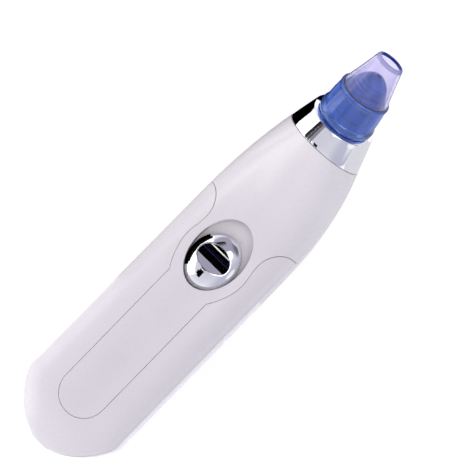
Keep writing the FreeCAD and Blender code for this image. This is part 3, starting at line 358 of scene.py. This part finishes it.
def make_head(materials):
    add_piece("suction_head_body", lathe("suction_head_body", HEAD_PROFILE), "suction_head", "suction_head",
              materials["blue_clear"])
    add_piece("inner_cone", lathe("inner_cone", CONE_PROFILE), "suction_head", "head_inner_cone",
              materials["deep_blue_clear"])
    length = HOOD_END - HOOD_START
    lip_part = 1 - LIP_LENGTH / length
    parts = [lip_part * step / HOOD_STEPS for step in range(HOOD_STEPS + 1)]
    outside = [hood_ring(part, 0, HOOD_START + length * part) for part in parts]
    inside = [hood_ring(part, HOOD_WALL, HOOD_START + length * part) for part in reversed(parts)]
    add_piece("hood_wall", ring_mesh("hood_wall", outside + inside), "suction_head", "head_hood",
              materials["pale_clear"])
    lip = []
    for inset, along in LIP_OUTLINE:
        run = HOOD_END - LIP_LENGTH + along
        lip.append(hood_ring((run - HOOD_START) / length, inset, run))
    add_piece("hood_mouth_rim", ring_mesh("hood_mouth_rim", lip), "suction_head", None,
              materials["mouth_rim"])


# ---------------------------------------------------------------- switch button
BUTTON_MIDDLE, BUTTON_HALF_LENGTH, BUTTON_HALF_WIDTH = 88.95, 11.3, 9.4
BUTTON_BASE, BUTTON_RIM, BUTTON_RISE = 3.65, 4.8, 5.0
SCOOP_LINE, SCOOP_HEIGHT, SCOOP_FACET = 87.7, 8.4, math.radians(20)
SCOOP_RADIUS, SCOOP_OFFSET = 14.0, 2.0
BUTTON_SEGMENTS, DOME_STEPS = 240, 90
SKIRT_REACH = 0.998           # the skirt's share of the button's half sizes
SKIRT_OUTLINE = [(0.2, BUTTON_BASE), (0.93, BUTTON_BASE), (0.985, BUTTON_BASE + 0.06),
                 (SKIRT_REACH, BUTTON_BASE + 0.2), (SKIRT_REACH, BUTTON_RIM)]


def soft_least(first, second, softness=0.12):
    """The lower of two heights, with their meeting edge slightly rounded."""
    gap = max(softness - abs(first - second), 0) / softness
    return min(first, second) - gap * gap * softness / 4


def button_height(station, across):
    """Height of the dome or of the scoop cut into it, whichever is lower."""
    reach = ((station - BUTTON_MIDDLE) / BUTTON_HALF_LENGTH) ** 2 + (across / BUTTON_HALF_WIDTH) ** 2
    dome = BUTTON_RIM + BUTTON_RISE * math.sqrt(max(0, 1 - reach))
    if station < SCOOP_LINE:
        cutter = SCOOP_HEIGHT + math.tan(SCOOP_FACET) * (SCOOP_LINE - station)
    else:
        middle_height = SCOOP_HEIGHT + math.sqrt(SCOOP_RADIUS ** 2 - SCOOP_OFFSET ** 2)
        shift = min(abs(station - SCOOP_LINE - SCOOP_OFFSET), SCOOP_RADIUS - 0.1)
        cutter = middle_height - math.sqrt(SCOOP_RADIUS ** 2 - shift ** 2)
    return soft_least(dome, cutter)


def button_ring(reach, height=None):
    """One ring of the button at a share of its half sizes, at a height or on its top surface."""
    ring = []
    for index in range(BUTTON_SEGMENTS):
        turn = 2 * math.pi * index / BUTTON_SEGMENTS
        station = BUTTON_MIDDLE + reach * BUTTON_HALF_LENGTH * math.cos(turn)
        across = reach * BUTTON_HALF_WIDTH * math.sin(turn)
        level = button_height(station, across) if height is None else height
        ring.append(row_point(station, across, level))
    return ring


def make_button(materials):
    rings = [button_ring(reach, height) for reach, height in SKIRT_OUTLINE]
    for step in range(1, DOME_STEPS):
        rings.append(button_ring(math.cos(math.pi / 2 * step / DOME_STEPS) * SKIRT_REACH))
    mesh = ring_mesh("chrome_button", rings, closed_profile=False, capped=True)
    add_piece("chrome_button", mesh, "switch_slider", "switch_button", materials["chrome_trim"],
              edge=math.radians(28))


# ---------------------------------------------------------------- collar
COLLAR_START = (145.5, 11.6)
COLLAR_START_LEAN = math.radians(15.5)
COLLAR_START_RADIUS, COLLAR_END_RADIUS = 15.5, 12.15
COLLAR_OUTLINE = [  # part of the way from the housing to the seat, and inset from the outside in mm
    (0.012, 1.6), (0.012, 0.22), (0.02, 0.08), (0.04, 0), (0.2, -0.04), (0.5, -0.06), (0.8, -0.04),
    (0.965, 0), (0.985, 0.08), (0.998, 0.28), (0.998, 4.2), (0.87, 4.2), (0.87, 1.6)]


def collar_ring(part, inset, segments=160):
    """Ring between the housing's tilted end (part 0) and the head's seat (part 1)."""
    ring = []
    ends = ((COLLAR_START, COLLAR_START_LEAN, COLLAR_START_RADIUS),
            ((SEAT_STATION, SEAT_HEIGHT), TILT, COLLAR_END_RADIUS))
    for k in range(segments):
        turn = 2 * math.pi * k / segments
        spots = []
        for (station, height), lean, radius in ends:
            up = (radius - inset) * math.sin(turn)
            spots.append(row_point(station - up * math.sin(lean), (radius - inset) * math.cos(turn),
                                   height + up * math.cos(lean)))
        ring.append(spots[0].lerp(spots[1], part))
    return ring


def make_collar(materials):
    mesh = ring_mesh("chrome_collar", [collar_ring(part, inset) for part, inset in COLLAR_OUTLINE])
    add_piece("chrome_collar", mesh, "handle", "nozzle_collar", materials["chrome_trim"],
              edge=math.radians(35))


# ---------------------------------------------------------------- camera and light
TARGET = Vector((0.00095, 0, 0.0295))
CAMERA_TIP = math.radians(8.2)
CAMERA_ROLL = math.radians(45.54)
CAMERA_DISTANCE = 0.935
LENS = 201.55
SHIFT = (0.0245, 0.0447)


def make_camera():
    """Looks down on the front, tipped towards one side, with the object across the picture's diagonal."""
    across = Vector((0, math.cos(CAMERA_TIP), math.sin(CAMERA_TIP)))
    back = Vector((0, -math.sin(CAMERA_TIP), math.cos(CAMERA_TIP)))
    along = Vector((1, 0, 0))
    right = math.cos(CAMERA_ROLL) * along - math.sin(CAMERA_ROLL) * across
    up = math.sin(CAMERA_ROLL) * along + math.cos(CAMERA_ROLL) * across
    camera = bpy.data.objects.new("camera", bpy.data.cameras.new("camera"))
    turn = Matrix((right, up, back)).transposed()
    camera.matrix_world = Matrix.Translation(TARGET + CAMERA_DISTANCE * back) @ turn.to_4x4()
    camera.data.sensor_width = 36
    camera.data.lens = LENS
    camera.data.shift_x, camera.data.shift_y = SHIFT
    bpy.context.collection.objects.link(camera)
    bpy.context.scene.camera = camera


FLOOR_DROP = 0.0004            # keeps the floor just under the object, m
FLOOR_HALF_SIZE = 4


def make_floor():
    mesh = bpy.data.meshes.new("floor")
    form = bmesh.new()
    bmesh.ops.create_grid(form, x_segments=1, y_segments=1, size=FLOOR_HALF_SIZE)
    form.to_mesh(mesh)
    form.free()
    floor = bpy.data.objects.new("floor", mesh)
    floor.location.z = -FLOOR_DROP
    bpy.context.collection.objects.link(floor)
    material, tree, shader = new_material("pale_floor")
    shader.inputs["Base Color"].default_value = (0.9, 0.9, 0.9, 1)
    shader.inputs["Roughness"].default_value = 0.9
    shader.inputs["Emission Color"].default_value = (1, 1, 1, 1)
    shader.inputs["Emission Strength"].default_value = 0.3
    mesh.materials.append(material)


def softbox(name, place, aim, size, power, colour=(1, 1, 1)):
    """A rectangular area light; places and sizes in metres, power in watts."""
    light = bpy.data.lights.new(name, "AREA")
    light.shape = "RECTANGLE"
    light.size, light.size_y = size
    light.energy = power
    light.color = colour
    lamp = bpy.data.objects.new(name, light)
    lamp.location = place
    lamp.rotation_mode = "QUATERNION"
    lamp.rotation_quaternion = (Vector(aim) - Vector(place)).to_track_quat("-Z", "Y")
    bpy.context.collection.objects.link(lamp)


def flag(name, corners, colour=(0, 0, 0), strength=0.0, faces=((0, 1, 2, 3),)):
    """A studio card, at housing coordinates in mm, that only mirror reflections can see."""
    mesh = bpy.data.meshes.new(name)
    mesh.from_pydata([row_point(*corner) for corner in corners], [], faces)
    card = bpy.data.objects.new(name, mesh)
    bpy.context.collection.objects.link(card)
    material, tree, shader = new_material(name)
    shader.inputs["Base Color"].default_value = (0, 0, 0, 1)
    shader.inputs["Roughness"].default_value = 1
    shader.inputs["Specular IOR Level"].default_value = 0
    shader.inputs["Emission Color"].default_value = (*colour, 1)
    shader.inputs["Emission Strength"].default_value = strength
    mesh.materials.append(material)
    card.visible_camera = False
    card.visible_diffuse = False
    card.visible_transmission = False
    card.visible_shadow = False


COLLAR_MIDDLE = Vector((150, 0, 15))
COLLAR_LEAN = math.radians(27)


def direction(azimuth, elevation):
    """Unit vector from angles in degrees."""
    turn, rise = math.radians(azimuth), math.radians(elevation)
    return Vector((math.cos(turn) * math.cos(rise), math.sin(turn) * math.cos(rise), math.sin(rise)))


def collar_strip(name, azimuth, elevation, distance, half_width, reach, colour, strength):
    """A long strip beside the collar, parallel to it, that its mirror finish picks up."""
    outward = direction(azimuth, elevation)
    along = Vector((math.cos(COLLAR_LEAN), 0, math.sin(COLLAR_LEAN)))
    along = (along - outward * along.dot(outward)).normalized()
    across = outward.cross(along)
    middle = COLLAR_MIDDLE + outward * distance
    corners = [middle + along * reach[x] + across * half_width * y
               for x, y in ((0, -1), (1, -1), (1, 1), (0, 1))]
    flag(name, [tuple(corner) for corner in corners], colour=colour, strength=strength)


def flat_flag(name, start, end, low_side, high_side, height, **look):
    """A level card over a span of stations and of places across."""
    flag(name, ((start, low_side, height), (end, low_side, height), (end, high_side, height),
                (start, high_side, height)), **look)


WELL_MIDDLE, WELL_HALF_LENGTH, WELL_HALF_WIDTH = 91.75, 14.35, 10.05
WELL_FLAG_STEPS = 60


def well_flag(start, end):
    """A curved black strip on the well's wall, from one angle to another, that the button mirrors."""
    corners = []
    for step in range(WELL_FLAG_STEPS + 1):
        turn = math.radians(start + (end - start) * step / WELL_FLAG_STEPS)
        for height in (3.7, 8.0):
            corners.append((WELL_MIDDLE + WELL_HALF_LENGTH * math.cos(turn), WELL_HALF_WIDTH * math.sin(turn),
                            height))
    faces = [(2 * step, 2 * step + 2, 2 * step + 3, 2 * step + 1) for step in range(WELL_FLAG_STEPS)]
    flag("well_flag", corners, faces=faces)


def sky_patch(tree, ray, colour, azimuth, elevation, radius, feather, value):
    """Mixes a soft round patch of sky over what is there."""
    dot = tree.nodes.new("ShaderNodeVectorMath")
    dot.operation = "DOT_PRODUCT"
    dot.inputs[1].default_value = direction(azimuth, elevation)
    tree.links.new(ray, dot.inputs[0])
    window = tree.nodes.new("ShaderNodeMapRange")
    window.interpolation_type = "SMOOTHSTEP"
    window.inputs["From Min"].default_value = math.cos(math.radians(radius + feather))
    window.inputs["From Max"].default_value = math.cos(math.radians(radius))
    tree.links.new(dot.outputs["Value"], window.inputs["Value"])
    return mix_colours(tree, window.outputs["Result"], colour, value)


SKY_PATCHES = [  # azimuth, elevation, radius and feather in degrees, and colour
    (15, 42, 26, 12, (0.3, 0.28, 0.36)),
    (-32, 57, 8, 6, (1.7, 1.7, 1.75)),
    (-20, 14, 14, 16, (0.12, 0.12, 0.16)),
    (-90, 0, 35, 30, (0.42, 0.42, 0.52)),
    (-85, 14, 8, 8, (0.75, 0.75, 0.78)),
]


def make_sky():
    """A grey studio sky with soft patches, for the chrome to mirror."""
    world = bpy.data.worlds.new("studio")
    bpy.context.scene.world = world
    world.use_nodes = True
    tree = world.node_tree
    background = tree.nodes["Background"]
    coordinates = tree.nodes.new("ShaderNodeTexCoord")
    ray = coordinates.outputs["Generated"]
    split = tree.nodes.new("ShaderNodeSeparateXYZ")
    tree.links.new(ray, split.inputs["Vector"])
    colour = ramp(tree, split.outputs["Z"], [(0.0, (0.75, 0.75, 0.8)), (0.45, (0.62, 0.62, 0.68)),
                                             (1.0, (0.5, 0.5, 0.56))])
    for azimuth, elevation, radius, feather, value in SKY_PATCHES:
        colour = sky_patch(tree, ray, colour, azimuth, elevation, radius, feather, value)
    tree.links.new(colour, background.inputs["Color"])
    background.inputs["Strength"].default_value = 1.27


def make_collar_cards():
    """Black, grey and white bands for the collar's mirror finish."""
    flat_flag("floor_flag", 60, 260, 19, 420, -27)
    collar_strip("collar_dark_strip", 114, 47, 80, 6, (-55, 80), (0.12, 0.11, 0.13), 0.12)
    collar_strip("collar_grey_strip", 121, 54, 80, 5.5, (-55, 80), (0.12, 0.11, 0.13), 0.8)
    collar_strip("collar_pale_strip", 130, 60, 80, 5, (-55, 80), (0.3, 0.29, 0.33), 0.9)
    collar_strip("collar_white_strip", 100, 22, 150, 62, (-60, 60), (1, 1, 1), 1.3)
    flat_flag("collar_floor_card", 90, 600, -1500, -14, -28, colour=(0.8, 0.79, 0.84), strength=0.95)


def make_button_cards():
    """Black cards with two thin blue lines and a white one for the button's scoop, facet and rim."""
    flag("side_flag", ((60, 45, -29), (118, 45, -29), (118, 45, 24), (60, 45, 24)))
    flat_flag("scoop_flag_near", 53, 94, 2, 22, 90)
    flat_flag("scoop_flag_end", 89.5, 95.5, -5, 11, 30)
    flat_flag("scoop_flag_far", 0, 47, 2, 24, 90)
    flat_flag("scoop_strip", 47, 53, 11, 17, 90, colour=(1, 1, 1), strength=1.1)
    flat_flag("scoop_line_near", 79, 80.5, 2, 24, 89.5, colour=(0.1, 0.12, 0.5), strength=0.3)
    flat_flag("scoop_line_far", 71, 72, 2, 24, 89.5, colour=(0.1, 0.12, 0.4), strength=0.15)
    flag("facet_flag", ((45.5, 7, 52), (45.5, 19, 52), (53, 20, 62), (53, 9, 62)))
    well_flag(72, 138)


def make_light():
    make_sky()
    softbox("key", (-0.40, 0.58, 0.36), (0, 0, 0.03), (0.75, 0.62), 2.2, (1, 0.985, 0.97))
    softbox("top", (0.25, -0.35, 1.2), (0, 0, 0.02), (0.6, 0.6), 2.5)
    make_collar_cards()
    make_button_cards()
    bpy.context.scene.view_settings.view_transform = "Standard"


make_camera()
make_floor()
make_light()
library = make_materials()
dress_nodes(library)
make_head(library)
make_button(library)
make_collar(library)
